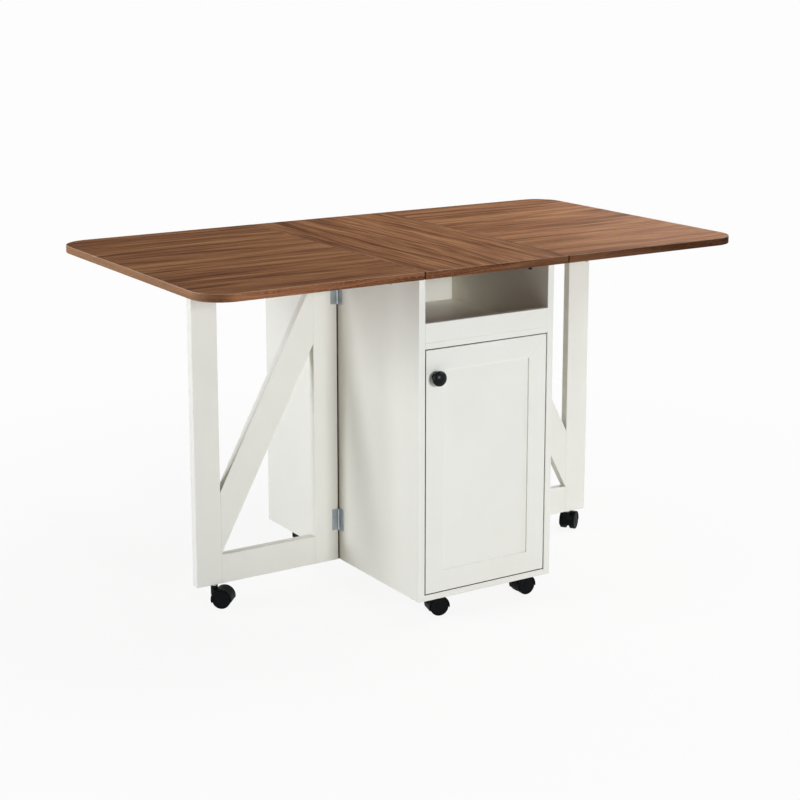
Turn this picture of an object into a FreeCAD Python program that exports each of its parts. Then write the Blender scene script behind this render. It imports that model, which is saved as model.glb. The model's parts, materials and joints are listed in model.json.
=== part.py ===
import FreeCAD, Part
import math
import os

# Gate-leg kitchen table with a storage cabinet, in millimetres.
# Origin on the floor under the centre of the top, X along the top, Y to the rear, Z up.
# The cabinet door and the niche face -Y.

V = FreeCAD.Vector
AXIS_X = V(1, 0, 0)
AXIS_Y = V(0, 1, 0)
AXIS_Z = V(0, 0, 1)
ORIGIN = V(0, 0, 0)

# ---------------------------------------------------------------- driving dimensions
# Top
table_length = 1300.0
table_width = 720.0
table_height = 745.0
top_thickness = 16.0
top_corner_radius = 65.0
centre_board_length = 350.5
seam_gap = 1.5
top_ease = 1.0

# Cabinet
cabinet_width = 333.0
cabinet_depth = 647.0
side_thickness = 15.0
deck_thickness = 13.0
partition_setback = 355.0
apron_height = 40.0
apron_thickness = 15.0
niche_height = 137.0
board_ease = 0.8

# Shelves
shelf_thickness = 13.0
door_shelf_height = 250.0
door_shelf_clearance = 1.0
door_shelf_setback = 34.0
shelf_pin_radius = 2.5
shelf_pin_embed = 8.0
shelf_pin_reach = 9.0
shelf_pin_inset = 45.0
shelf_pin_clearance = 0.02
rear_shelf_setback = 6.0
rear_shelf_heights = (218.0, 436.0)

# Door
door_thickness = 16.0
door_gap = 2.0
door_frame_width = 44.5
door_recess_depth = 4.0
door_edge_round = 3.0
door_pivot_inset = 5.0
door_pivot_radius = 2.0
door_pivot_embed = 8.0
door_pivot_reach = 12.0
door_washer_radius = 4.0

# Knob
knob_radius = 16.0
knob_reach = 25.0
knob_neck_radius = 6.0
knob_neck_height = 8.0
knob_rim_height = 15.5
knob_base_radius = 9.0
knob_base_height = 1.5
knob_drop = 57.0
knob_belly_turns = (0.5, 1.0)
knob_crown_turns = (0.0, 0.4, 0.8, 1.15, 1.4)

# Magnetic catch
catch_length = 46.0
catch_height = 13.0
catch_depth = 15.0
catch_offset = 95.0
strike_length = 38.0
strike_height = 11.0
strike_thickness = 1.0

# Gates
gate_length = 342.0
gate_thickness = 20.0
gate_front_setback = 319.0
gate_stile_width = 58.0
gate_bottom_rail_width = 62.5
gate_top_rail_width = 44.0
gate_brace_width = 64.0

# Gate hinges
hinge_height = 47.0
hinge_leaf_length = 15.0
hinge_plate = 1.6
knuckle_radius = 3.0
hinge_pin_radius = 1.5
hinge_knuckles = 3
lower_hinge_height = 92.5
upper_hinge_drop = 75.0

# Flap hinges under the top
flap_width = 44.0
flap_reach = 35.0
flap_plate = 2.0
flap_pin_drop = 5.0
flap_spacing = 440.0

# Leaf studs and leaf rests
stud_radius = 3.5
stud_height = 7.0
stud_offset = 64.0
stud_setback = 24.0
rest_length = 34.0
rest_width = 14.0

# Corner brackets under the centre board
bracket_drop = 25.5
bracket_reach = 16.0
bracket_width = 8.0
bracket_spacing = 524.0
bracket_nose = 2.5

# Sides of the small round pieces that repeat
wheel_sides = 24
knuckle_sides = 12
knob_sides = 24
bore_sides = 8
flange_sides = 6

# Casters
caster_height = 50.0
caster_width = 36.0
caster_trail = 19.0
wheel_radius = 20.0
wheel_chamfer = 1.6
wheel_cover = 2.5
hood_radius = 23.5
hood_skirt = 4.0
hood_wall = 2.4
hood_ease = 1.2
socket_spare = 0.5
web_thickness = 8.0
axle_radius = 2.0
neck_sides = 16
neck_radius = 7.5
neck_foot = 26.0
stem_radius = 4.0
stem_flange_radius = 6.5
stem_flange_height = 3.4
stem_embed = 10.0
stem_hole_spare = 0.5
stem_reach = 9.0
caster_inset_x = 55.0
caster_inset_y = 47.5
gate_caster_inset = 44.5

# Rest directions of the swivels, degrees from +X towards +Y
swivel_front_left = -15.0
swivel_front_right = 0.0
swivel_rear_left = -85.0
swivel_rear_right = 20.0
swivel_left_gate = -43.0
swivel_right_gate = 36.0

# Clearances
pin_clearance = 0.05
fixed_pin_clearance = 0.02
knuckle_gap = 0.2
knuckle_side_clearance = 0.6
flap_gate_clearance = 1.5
rest_clearance = 0.6
stud_clearance = 0.3
washer_clearance = 0.1
catch_clearance = 0.3
wheel_side_clearance = 1.0
neck_clearance = 0.2
plate_recess_clearance = 0.2

# Cutting tools stand this far past the surface they cut, and edges closer than this are one
overshoot = 1.0
same_place = 0.01

# ---------------------------------------------------------------- derived places
top_z = table_height
underside_z = table_height - top_thickness
bottom_z = caster_height
half_width = cabinet_width / 2
inner_x = half_width - side_thickness
front_y = -cabinet_depth / 2
rear_y = cabinet_depth / 2
floor_z = bottom_z + deck_thickness
niche_floor_z = underside_z - niche_height
head_z = niche_floor_z - deck_thickness
partition_front_y = front_y + partition_setback
partition_rear_y = partition_front_y + side_thickness

centre_x = centre_board_length / 2
leaf_x = centre_x + seam_gap
end_x = table_length / 2
side_y = table_width / 2

gate_pin_x = half_width + knuckle_radius
gate_front_y = front_y + gate_front_setback
gate_pin_y = gate_front_y - knuckle_radius
gate_end_x = gate_pin_x + gate_length
folded_gate_x = gate_pin_x + knuckle_radius + gate_thickness

flap_pin_x = folded_gate_x + stud_height + stud_clearance - flap_pin_drop
flap_pin_z = underside_z - flap_pin_drop
gate_top_z = flap_pin_z - knuckle_radius - flap_gate_clearance
flap_joggle = flap_pin_drop - knuckle_radius

hinge_bore_radius = hinge_pin_radius + pin_clearance
fixed_bore_radius = hinge_pin_radius + fixed_pin_clearance

door_left_x = -inner_x + door_gap
door_right_x = inner_x - door_gap
door_bottom_z = floor_z + door_gap
door_top_z = head_z - door_gap
door_back_y = front_y + door_thickness
door_pivot_x = door_right_x - door_pivot_inset
door_pivot_y = front_y + door_pivot_inset

wheel_inner = web_thickness / 2 + wheel_side_clearance
wheel_thickness = caster_width / 2 - wheel_inner
neck_top = caster_height - stem_flange_height - neck_clearance
hood_bore_radius = hood_radius - hood_wall


# ---------------------------------------------------------------- shape helpers
def block(x0, x1, y0, y1, z0, z1):
    """A plain box between two corners."""
    return Part.makeBox(x1 - x0, y1 - y0, z1 - z0, V(x0, y0, z0))


def eased(shape, size):
    """The shape with every edge eased by a small chamfer."""
    return shape.makeChamfer(size, shape.Edges)


def board(x0, x1, y0, y1, z0, z1):
    """A painted board with eased edges."""
    return eased(block(x0, x1, y0, y1, z0, z1), board_ease)


def rod(centre, direction, radius, length):
    """A cylinder centred on a point, along a direction."""
    start = centre - direction * (length / 2)
    return Part.makeCylinder(radius, length, start, direction)


def ring(radius, sides, z):
    """The closed run of corners round a many-sided section whose flats lie at the radius."""
    corner = radius / math.cos(math.pi / sides)
    points = []
    for i in range(sides + 1):
        turn = 2 * math.pi * (i + 0.5) / sides
        points.append(V(corner * math.cos(turn), corner * math.sin(turn), z))
    return points


def many_sided(start, direction, radius, length, sides):
    """A rod or bore with flats at its radius instead of a round."""
    shape = Part.Face(Part.makePolygon(ring(radius, sides, 0))).extrude(V(0, 0, length))
    shape.Placement = FreeCAD.Placement(start, FreeCAD.Rotation(AXIS_Z, direction))
    return shape


def outline(points):
    """A face inside a closed outline of straight runs."""
    return Part.Face(Part.makePolygon(points + [points[0]]))


def mirrored(shape):
    """The shape's mirror image on the other side of the table."""
    return shape.mirror(ORIGIN, AXIS_X)


def group(shapes):
    """Like pieces of one node, as separate solids."""
    return Part.makeCompound(shapes)


def save(name, shape):
    """Write one node."""
    shape.exportStep("parts/" + name + ".step")


# ---------------------------------------------------------------- table top
def centre_board():
    return eased(block(-centre_x, centre_x, -side_y, side_y, underside_z, top_z), top_ease)


def leaf_board():
    """The right leaf, with its two outer corners rounded."""
    r = top_corner_radius
    corner = r * (1 - math.sqrt(0.5))
    a = V(leaf_x, -side_y, underside_z)
    b = V(end_x - r, -side_y, underside_z)
    b_mid = V(end_x - corner, -side_y + corner, underside_z)
    c = V(end_x, -side_y + r, underside_z)
    d = V(end_x, side_y - r, underside_z)
    d_mid = V(end_x - corner, side_y - corner, underside_z)
    e = V(end_x - r, side_y, underside_z)
    f = V(leaf_x, side_y, underside_z)
    edges = [Part.LineSegment(a, b), Part.Arc(b, b_mid, c), Part.LineSegment(c, d),
             Part.Arc(d, d_mid, e), Part.LineSegment(e, f), Part.LineSegment(f, a)]
    face = Part.Face(Part.Wire([edge.toShape() for edge in edges]))
    return eased(face.extrude(V(0, 0, top_thickness)), top_ease)


# ---------------------------------------------------------------- hinges
def knuckle_spans(height, count):
    """The stretches of the knuckles along a hinge, centred on zero."""
    pitch = height / count
    spans = []
    for i in range(count):
        low = -height / 2 + i * pitch
        spans.append((low + knuckle_gap / 2, low + pitch - knuckle_gap / 2))
    return spans


def hinge_leaf(plate, height, bore_radius, own):
    """Half a hinge on a Z pin at the origin; its plate is a section in the XY plane.

    The own knuckles are those whose place in the row is even (0) or odd (1).
    """
    leaf = plate.extrude(V(0, 0, height))
    leaf.translate(V(0, 0, -height / 2))
    spans = knuckle_spans(height, hinge_knuckles)
    reach = knuckle_radius + knuckle_side_clearance
    flat_radius = knuckle_radius * math.cos(math.pi / knuckle_sides)
    for i, (low, high) in enumerate(spans):
        if i % 2 == own:
            knuckle = many_sided(V(0, 0, low), AXIS_Z, flat_radius, high - low, knuckle_sides)
            leaf = leaf.fuse(knuckle)
        else:
            leaf = leaf.cut(block(-reach, reach, -reach, reach,
                                  low - knuckle_gap, high + knuckle_gap))
    bore = many_sided(V(0, 0, -height / 2), AXIS_Z, bore_radius, height, bore_sides)
    return leaf.cut(bore).removeSplitter()


def butt_plate():
    """A flat hinge wing along +X whose back lies at +Y on the knuckle's tangent."""
    back = knuckle_radius
    front = knuckle_radius - hinge_plate
    return outline([V(0, front, 0), V(hinge_leaf_length, front, 0),
                    V(hinge_leaf_length, back, 0), V(0, back, 0)])


def flap_wing(straight):
    """A joggled wing along +X: below the boards at the pin, then up against them."""
    low = knuckle_radius - flap_plate
    end = straight + 2 * flap_joggle + flap_reach
    return outline([V(0, low, 0), V(straight, low, 0),
                    V(straight + 2 * flap_joggle, low + flap_joggle, 0),
                    V(end, low + flap_joggle, 0), V(end, knuckle_radius + flap_joggle, 0),
                    V(straight + 2 * flap_joggle, knuckle_radius + flap_joggle, 0),
                    V(straight, knuckle_radius, 0), V(0, knuckle_radius, 0)])


def gate_hinge_places():
    """The middles of the lower and the upper gate hinge."""
    return [bottom_z + lower_hinge_height, gate_top_z - upper_hinge_drop]


def gate_side_leaf(z):
    """The wing on the right gate's front face."""
    leaf = hinge_leaf(butt_plate(), hinge_height, hinge_bore_radius, 1)
    leaf.translate(V(gate_pin_x, gate_pin_y, z))
    return leaf


def panel_side_leaf(z):
    """The wing on the right side panel, in front of the gate."""
    leaf = hinge_leaf(butt_plate(), hinge_height, fixed_bore_radius, 0)
    leaf.rotate(ORIGIN, AXIS_X, 180)
    leaf.rotate(ORIGIN, AXIS_Z, -90)
    leaf.translate(V(gate_pin_x, gate_pin_y, z))
    return leaf


def flap_leaf(straight, bore_radius, own):
    """Half a flap hinge with its pin along Y and its wing to the right."""
    leaf = hinge_leaf(flap_wing(straight), flap_width, bore_radius, own)
    leaf.rotate(ORIGIN, AXIS_X, 90)
    return leaf


def flap_places():
    return [-flap_spacing / 2, flap_spacing / 2]


def leaf_flap(y):
    """The wing screwed under the right leaf."""
    leaf = flap_leaf(knuckle_radius + knuckle_side_clearance, hinge_bore_radius, 1)
    leaf.translate(V(flap_pin_x, y, flap_pin_z))
    return leaf


def centre_flap(y):
    """The longer wing, screwed under the centre board over the right side panel."""
    leaf = flap_leaf(flap_pin_x - leaf_x, fixed_bore_radius, 0)
    leaf = mirrored(leaf)
    leaf.translate(V(flap_pin_x, y, flap_pin_z))
    return leaf


def hinge_pins():
    """The right-hand hinge pins: two upright, two along the leaf."""
    pins = []
    for z in gate_hinge_places():
        pins.append(rod(V(gate_pin_x, gate_pin_y, z), AXIS_Z, hinge_pin_radius, hinge_height))
    for y in flap_places():
        pins.append(rod(V(flap_pin_x, y, flap_pin_z), AXIS_Y, hinge_pin_radius, flap_width))
    return pins


def door_pivots():
    """The two pivot pins of the door, each with a washer in the gap."""
    pins = []
    for board_z, gap_end_z, sign in ((floor_z, door_bottom_z, 1), (head_z, door_top_z, -1)):
        start = board_z - sign * door_pivot_embed
        length = door_pivot_embed + door_gap + door_pivot_reach
        pin = Part.makeCylinder(door_pivot_radius, length,
                                V(door_pivot_x, door_pivot_y, start), V(0, 0, sign))
        washer = many_sided(V(door_pivot_x, door_pivot_y, board_z), V(0, 0, sign),
                            door_washer_radius, abs(gap_end_z - board_z) - washer_clearance,
                            knuckle_sides)
        pins.append(pin.fuse(washer).removeSplitter())
    return pins


def door_pivot_bore(radius, start, length):
    return Part.makeCylinder(radius, length, V(door_pivot_x, door_pivot_y, start))


# ---------------------------------------------------------------- cabinet
def flap_recess(y):
    """The shallow notch in a side panel's top edge that a centre wing lies in."""
    half = flap_width / 2 + plate_recess_clearance
    low = underside_z - flap_plate - plate_recess_clearance
    return block(inner_x - overshoot, half_width + overshoot, y - half, y + half,
                 low, underside_z + overshoot)


def shelf_pin_places():
    """Where the front shelf's pins enter the right side panel."""
    shelf_front = door_back_y + door_shelf_setback
    z = floor_z + door_shelf_height - shelf_pin_radius
    return [V(inner_x, shelf_front + shelf_pin_inset, z),
            V(inner_x, partition_front_y - shelf_pin_inset, z)]


def side_panel():
    """The right side panel, with notches for the flap hinges and holes for shelf pins."""
    panel = board(inner_x, half_width, front_y, rear_y, bottom_z, underside_z)
    for y in flap_places():
        panel = panel.cut(flap_recess(y))
    for place in shelf_pin_places():
        radius = shelf_pin_radius + shelf_pin_clearance
        panel = panel.cut(many_sided(place, AXIS_X, radius, shelf_pin_embed, bore_sides))
    return panel


def stem_hole(x, y, base_z):
    """The blind hole that a caster's stem is pressed into."""
    return many_sided(V(x, y, base_z), AXIS_Z, stem_radius + fixed_pin_clearance,
                      stem_embed + stem_hole_spare, bore_sides)


def cabinet_caster_places():
    """Front left, front right, rear left, rear right."""
    x = half_width - caster_inset_x
    y = cabinet_depth / 2 - caster_inset_y
    return [V(-x, -y, 0), V(x, -y, 0), V(-x, y, 0), V(x, y, 0)]


def bottom_panel():
    panel = board(-inner_x, inner_x, front_y, rear_y, bottom_z, floor_z)
    for place in cabinet_caster_places():
        panel = panel.cut(stem_hole(place.x, place.y, bottom_z))
    bore = door_pivot_bore(door_pivot_radius + fixed_pin_clearance,
                           floor_z - door_pivot_embed, door_pivot_embed)
    return panel.cut(bore)


def niche_floor():
    panel = board(-inner_x, inner_x, front_y, partition_front_y, head_z, niche_floor_z)
    bore = door_pivot_bore(door_pivot_radius + fixed_pin_clearance, head_z, door_pivot_embed)
    return panel.cut(bore)


def partition():
    return board(-inner_x, inner_x, partition_front_y, partition_rear_y, floor_z, underside_z)


def apron():
    return board(-inner_x, inner_x, front_y, front_y + apron_thickness,
                 niche_floor_z, niche_floor_z + apron_height)


def door_shelf():
    z = floor_z + door_shelf_height
    half = inner_x - door_shelf_clearance
    return board(-half, half, door_back_y + door_shelf_setback, partition_front_y,
                 z, z + shelf_thickness)


def shelf_pins():
    """The four pins that the front shelf lies on."""
    pins = []
    for place in shelf_pin_places():
        start = place + AXIS_X * shelf_pin_embed
        pin = many_sided(start, AXIS_X * -1, shelf_pin_radius,
                         shelf_pin_embed + shelf_pin_reach, bore_sides)
        pins.append(pin)
        pins.append(mirrored(pin))
    return pins


def rear_shelf(height):
    z = floor_z + height
    return board(-inner_x, inner_x, partition_rear_y, rear_y - rear_shelf_setback,
                 z, z + shelf_thickness)


def corner_bracket(side, y):
    """A solid corner block that ties a side panel to the centre board."""
    reach = side * bracket_reach
    nose = side * bracket_nose
    x = -side * inner_x
    z = underside_z
    section = outline([V(x, y, z), V(x + reach, y, z), V(x + reach, y, z - bracket_nose),
                       V(x + nose, y, z - bracket_drop), V(x, y, z - bracket_drop)])
    block_shape = section.extrude(V(0, bracket_width, 0))
    block_shape.translate(V(0, -bracket_width / 2, 0))
    return block_shape


def corner_brackets():
    places = []
    for side in (-1, 1):
        for y in (-bracket_spacing / 2, bracket_spacing / 2):
            places.append(corner_bracket(side, y))
    return places


def catch_box():
    """The magnet's case under the niche floor, just behind the strike plate."""
    y = door_back_y + strike_thickness + catch_clearance
    x = -catch_offset
    return eased(block(x - catch_length / 2, x + catch_length / 2, y, y + catch_depth,
                       head_z - catch_height, head_z), board_ease)


# ---------------------------------------------------------------- door
def door_slab():
    """One slab with a sunk field that leaves a frame round it."""
    slab = board(door_left_x, door_right_x, front_y, door_back_y, door_bottom_z, door_top_z)
    low = door_bottom_z - overshoot
    high = door_top_z + overshoot
    corner = block(door_right_x - door_edge_round, door_right_x + overshoot,
                   front_y - overshoot, front_y + door_edge_round, low, high)
    round_stick = Part.makeCylinder(door_edge_round, high - low,
                                    V(door_right_x - door_edge_round,
                                      front_y + door_edge_round, low))
    slab = slab.cut(corner.cut(round_stick))
    field = block(door_left_x + door_frame_width, door_right_x - door_frame_width,
                  front_y - overshoot, front_y + door_recess_depth,
                  door_bottom_z + door_frame_width, door_top_z - door_frame_width)
    slab = slab.cut(field)
    radius = door_pivot_radius + pin_clearance
    reach = door_pivot_reach + washer_clearance
    slab = slab.cut(door_pivot_bore(radius, door_bottom_z, reach))
    return slab.cut(door_pivot_bore(radius, door_top_z - reach, reach))


def knob():
    """A turned knob: flared base, neck and domed head, on the door's left stile."""
    neck_low = knob_base_height + knob_base_radius - knob_neck_radius
    profile = [(knob_base_radius, 0), (knob_base_radius, knob_base_height),
               (knob_neck_radius, neck_low), (knob_neck_radius, knob_neck_height)]
    flare = knob_radius - knob_neck_radius
    rise = knob_rim_height - knob_neck_height
    for turn in knob_belly_turns:
        profile.append((knob_neck_radius + flare * math.sin(turn),
                        knob_rim_height - rise * math.cos(turn)))
    crown = knob_reach - knob_rim_height
    for turn in knob_crown_turns:
        profile.append((knob_radius * math.cos(turn), knob_rim_height + crown * math.sin(turn)))
    rings = [ring(radius, knob_sides, z) for radius, z in profile]
    faces = [Part.Face(Part.makePolygon(rings[0])), Part.Face(Part.makePolygon(rings[-1]))]
    for lower, upper in zip(rings, rings[1:]):
        for i in range(knob_sides):
            faces.append(outline([lower[i], lower[i + 1], upper[i + 1], upper[i]]))
    shape = Part.Solid(Part.Shell(faces))
    shape.rotate(ORIGIN, AXIS_X, 90)
    shape.translate(V(door_left_x + door_frame_width / 2, front_y, door_top_z - knob_drop))
    return shape


def strike_plate():
    z = head_z - catch_height / 2
    x = -catch_offset
    low = z - strike_height / 2
    high = min(z + strike_height / 2, door_top_z)
    return block(x - strike_length / 2, x + strike_length / 2,
                 door_back_y, door_back_y + strike_thickness, low, high)


# ---------------------------------------------------------------- gates
def gate_board(x0, x1, z0, z1):
    return board(x0, x1, gate_front_y, gate_front_y + gate_thickness, z0, z1)


def outer_stile():
    """The stile over the caster, bored for its stem."""
    stile = gate_board(gate_end_x - gate_stile_width, gate_end_x, bottom_z, gate_top_z)
    return stile.cut(stem_hole(gate_caster_place().x, gate_caster_place().y, bottom_z))


def inner_stile():
    return gate_board(gate_pin_x, gate_pin_x + gate_stile_width, bottom_z, gate_top_z)


def gate_opening():
    """The corners of the space between stiles and rails: x, x, z, z."""
    return (gate_pin_x + gate_stile_width, gate_end_x - gate_stile_width,
            bottom_z + gate_bottom_rail_width, gate_top_z - gate_top_rail_width)


def bottom_rail():
    left, right, low, high = gate_opening()
    return gate_board(left, right, bottom_z, low)


def top_rail():
    left, right, low, high = gate_opening()
    return gate_board(left, right, high, gate_top_z)


def brace():
    """The slanted board: lower outer corner of the opening to its upper inner corner."""
    left, right, low, high = gate_opening()
    width = right - left
    height = high - low
    diagonal = math.hypot(width, height)
    angle = math.acos(gate_brace_width / diagonal) - math.atan2(width, height)
    rise = width * math.tan(angle)
    y = gate_front_y
    section = outline([V(right, y, low), V(left, y, low + rise),
                       V(left, y, high), V(right, y, high - rise)])
    return eased(section.extrude(V(0, gate_thickness, 0)), board_ease)


def gate_caster_place():
    return V(gate_end_x - gate_caster_inset, gate_front_y + gate_thickness / 2, 0)


def leaf_rest():
    """The block on the gate's top that the open leaf lies on."""
    x = gate_end_x - gate_stile_width / 2
    y = gate_front_y + gate_thickness / 2
    return eased(block(x - rest_length / 2, x + rest_length / 2,
                       y - rest_width / 2, y + rest_width / 2,
                       gate_top_z, underside_z - rest_clearance), board_ease)


def leaf_stud():
    """The stud under a leaf that keeps the hanging leaf off the folded gate."""
    place = V(leaf_x + stud_offset, -side_y + stud_setback, underside_z - stud_height)
    return many_sided(place, AXIS_Z, stud_radius, stud_height, knuckle_sides)


# ---------------------------------------------------------------- casters
# Built with the stem on the Z axis and the wheels trailing towards +X.
def axle_centre():
    return V(caster_trail, 0, wheel_radius)


def hood():
    """The moulded hood: a half-round cover over both wheels, a web between them and a neck."""
    centre = axle_centre()
    half = caster_width / 2
    keep = block(-caster_width, caster_width * 2, -caster_width, caster_width,
                 wheel_radius - hood_skirt, caster_height)
    outer = many_sided(centre - AXIS_Y * half, AXIS_Y, hood_radius, caster_width, wheel_sides)
    rims = [edge for edge in outer.Edges if abs(abs(edge.CenterOfMass.y) - half) < same_place]
    outer = outer.makeChamfer(hood_ease, rims)
    neck = many_sided(V(0, 0, neck_foot), AXIS_Z, neck_radius, neck_top - neck_foot, neck_sides)
    body = outer.common(keep).fuse(neck)
    for side in (-1, 1):
        start = centre + AXIS_Y * (side * web_thickness / 2)
        body = body.cut(many_sided(start, AXIS_Y * side, hood_bore_radius, half, wheel_sides))
    bore = many_sided(centre - AXIS_Y * half, AXIS_Y, axle_radius + fixed_pin_clearance,
                      caster_width, bore_sides)
    socket = many_sided(V(0, 0, neck_top - stem_reach - socket_spare), AXIS_Z,
                        stem_radius + pin_clearance, stem_reach + 2 * socket_spare, bore_sides)
    return body.cut(bore).cut(socket).removeSplitter()


def axle():
    length = caster_width - 2 * wheel_cover - 2 * pin_clearance
    return rod(axle_centre(), AXIS_Y, axle_radius, length)


def wheel(side):
    """One wheel: a disc with an eased outer rim and a blind bore from its inner side."""
    start = axle_centre() + AXIS_Y * (side * wheel_inner)
    disc = many_sided(start, AXIS_Y * side, wheel_radius, wheel_thickness, wheel_sides)
    outer_y = wheel_inner + wheel_thickness
    rims = [edge for edge in disc.Edges if abs(abs(edge.CenterOfMass.y) - outer_y) < same_place]
    disc = disc.makeChamfer(wheel_chamfer, rims)
    bore = many_sided(start, AXIS_Y * side, axle_radius + pin_clearance,
                      wheel_thickness - wheel_cover, bore_sides)
    return disc.cut(bore)


def stem():
    """The steel stem: a round shank in the hood, a flange, and a many-sided shank in the wood."""
    flange_z = caster_height - stem_flange_height
    lower = Part.makeCylinder(stem_radius, stem_reach, V(0, 0, flange_z - stem_reach))
    flange = many_sided(V(0, 0, flange_z), AXIS_Z, stem_flange_radius, stem_flange_height,
                        flange_sides)
    upper = many_sided(V(0, 0, caster_height), AXIS_Z, stem_radius, stem_embed, bore_sides)
    return flange.fuse([lower, upper]).removeSplitter()


def placed(shape, place, direction):
    """A caster piece turned to its rest direction and set under its stem."""
    copy = shape.copy()
    copy.rotate(ORIGIN, AXIS_Z, direction)
    copy.translate(place)
    return copy


# ---------------------------------------------------------------- the nodes
os.makedirs("parts", exist_ok=True)

leaf = leaf_board()
save("centre_board", centre_board())
save("leaf_board_right", leaf)
save("leaf_board_left", mirrored(leaf))

leaf_flaps = [leaf_flap(y) for y in flap_places()]
centre_flaps = [centre_flap(y) for y in flap_places()]
save("flap_wings_right_leaf", group(leaf_flaps))
save("flap_wings_left_leaf", group([mirrored(wing) for wing in leaf_flaps]))
save("flap_wings_centre", group(centre_flaps + [mirrored(wing) for wing in centre_flaps]))
save("leaf_stud_right", leaf_stud())
save("leaf_stud_left", mirrored(leaf_stud()))

panel = side_panel()
save("side_panel_right", panel)
save("side_panel_left", mirrored(panel))
save("bottom_panel", bottom_panel())
save("niche_floor", niche_floor())
save("partition", partition())
save("niche_apron", apron())
save("door_shelf", door_shelf())
save("shelf_pins", group(shelf_pins()))
save("rear_shelf_lower", rear_shelf(rear_shelf_heights[0]))
save("rear_shelf_upper", rear_shelf(rear_shelf_heights[1]))
save("corner_brackets", group(corner_brackets()))
save("catch_box", catch_box())

pins = hinge_pins()
save("hinge_pins", group(pins + [mirrored(pin) for pin in pins] + door_pivots()))

panel_leaves = [panel_side_leaf(z) for z in gate_hinge_places()]
save("hinge_wings_cabinet", group(panel_leaves + [mirrored(wing) for wing in panel_leaves]))

save("door_slab", door_slab())
save("door_knob", knob())
save("strike_plate", strike_plate())

gate_pieces = {
    "gate_outer_stile": outer_stile(),
    "gate_inner_stile": inner_stile(),
    "gate_bottom_rail": bottom_rail(),
    "gate_top_rail": top_rail(),
    "gate_brace": brace(),
    "gate_rest": leaf_rest(),
    "gate_hinge_wings": group([gate_side_leaf(z) for z in gate_hinge_places()]),
    "gate_stem": placed(stem(), gate_caster_place(), 0),
}
for name, shape in gate_pieces.items():
    save(name + "_right", shape)
    save(name + "_left", mirrored(shape))

cabinet_places = cabinet_caster_places()
save("cabinet_stems", group([placed(stem(), place, 0) for place in cabinet_places]))

right_gate_place = gate_caster_place()
left_gate_place = V(-right_gate_place.x, right_gate_place.y, 0)
casters = {
    "front_left": (cabinet_places[0], swivel_front_left),
    "front_right": (cabinet_places[1], swivel_front_right),
    "rear_left": (cabinet_places[2], swivel_rear_left),
    "rear_right": (cabinet_places[3], swivel_rear_right),
    "left_gate": (left_gate_place, swivel_left_gate),
    "right_gate": (right_gate_place, swivel_right_gate),
}
caster_hood = hood()
caster_axle = axle()
caster_wheels = group([wheel(-1), wheel(1)])
for name, (place, direction) in casters.items():
    save("caster_hood_" + name, placed(caster_hood, place, direction))
    save("caster_axle_" + name, placed(caster_axle, place, direction))
    save("caster_wheels_" + name, placed(caster_wheels, place, direction))
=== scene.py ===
import json
import math

import bmesh
import bpy
from mathutils import Matrix, Vector


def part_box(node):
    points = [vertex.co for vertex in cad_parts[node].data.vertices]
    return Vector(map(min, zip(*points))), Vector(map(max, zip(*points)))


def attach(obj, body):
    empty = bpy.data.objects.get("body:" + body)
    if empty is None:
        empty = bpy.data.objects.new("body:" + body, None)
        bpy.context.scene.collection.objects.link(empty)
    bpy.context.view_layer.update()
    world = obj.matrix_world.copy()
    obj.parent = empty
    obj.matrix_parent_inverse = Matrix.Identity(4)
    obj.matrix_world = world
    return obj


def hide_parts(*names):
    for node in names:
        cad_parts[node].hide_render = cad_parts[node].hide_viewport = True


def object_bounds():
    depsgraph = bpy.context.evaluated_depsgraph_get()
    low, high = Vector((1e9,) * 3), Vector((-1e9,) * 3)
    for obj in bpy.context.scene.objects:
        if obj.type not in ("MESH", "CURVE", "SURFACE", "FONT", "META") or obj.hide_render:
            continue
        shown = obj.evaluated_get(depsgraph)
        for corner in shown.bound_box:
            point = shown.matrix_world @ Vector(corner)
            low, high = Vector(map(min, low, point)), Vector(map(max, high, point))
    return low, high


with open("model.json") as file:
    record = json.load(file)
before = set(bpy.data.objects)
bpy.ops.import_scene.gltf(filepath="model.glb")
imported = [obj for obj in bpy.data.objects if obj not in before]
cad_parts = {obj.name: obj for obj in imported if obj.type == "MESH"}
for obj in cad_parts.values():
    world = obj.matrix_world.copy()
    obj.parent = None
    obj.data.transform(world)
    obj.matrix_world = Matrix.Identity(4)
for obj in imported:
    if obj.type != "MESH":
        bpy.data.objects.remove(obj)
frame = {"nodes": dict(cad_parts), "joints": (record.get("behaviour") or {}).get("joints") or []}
cad_low, cad_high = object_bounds()
boards = frame["nodes"]

# ---------------------------------------------------------------- table top
# Three boards of wood chip core, faced with walnut laminate on both sides and edged with a
# thin walnut band. The centre board's grain runs across the table, the leaves' grain along
# it. The outer corners are routed round before the band is ironed on and its rims eased.
leaf_corner_radius = 0.065
leaf_corner_steps = 20
rim_ease = 0.0013
rim_steps = 3
seam_zone = 0.2  # the seams lie nearer the middle than this, the outer edges further out
figure_streaks = ((0.55, 0.026, 1.12), (0.26, 0.008, 0.98), (0.10, 0.0026, 0.80))
band_flecks = 0.55
# Painted light on the edge bands: lighter at the left, painted shade towards the right leaf, a
# painted light on the left end.
band_painted_light_x = -0.62
band_painted_shade_x = 0.45
painted_end_light_from_x = -0.632
painted_end_light_full_x = -0.6487
near = 1e-5  # how closely a point counts as lying on a line


def alone(part):
    """Select one part and nothing else."""
    bpy.ops.object.select_all(action="DESELECT")
    part.select_set(True)
    bpy.context.view_layer.objects.active = part


def edit(part, kind="FACE", wanted=None):
    """Enter edit mode on a part with only the wanted edges or faces selected."""
    alone(part)
    bpy.ops.object.mode_set(mode="EDIT")
    bpy.ops.mesh.select_mode(type=kind)
    bpy.ops.mesh.select_all(action="DESELECT")
    form = bmesh.from_edit_mesh(part.data)
    for item in form.edges if kind == "EDGE" else form.faces:
        if wanted is None or wanted(item):
            item.select_set(True)
    form.select_flush_mode()
    bmesh.update_edit_mesh(part.data)


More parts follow.
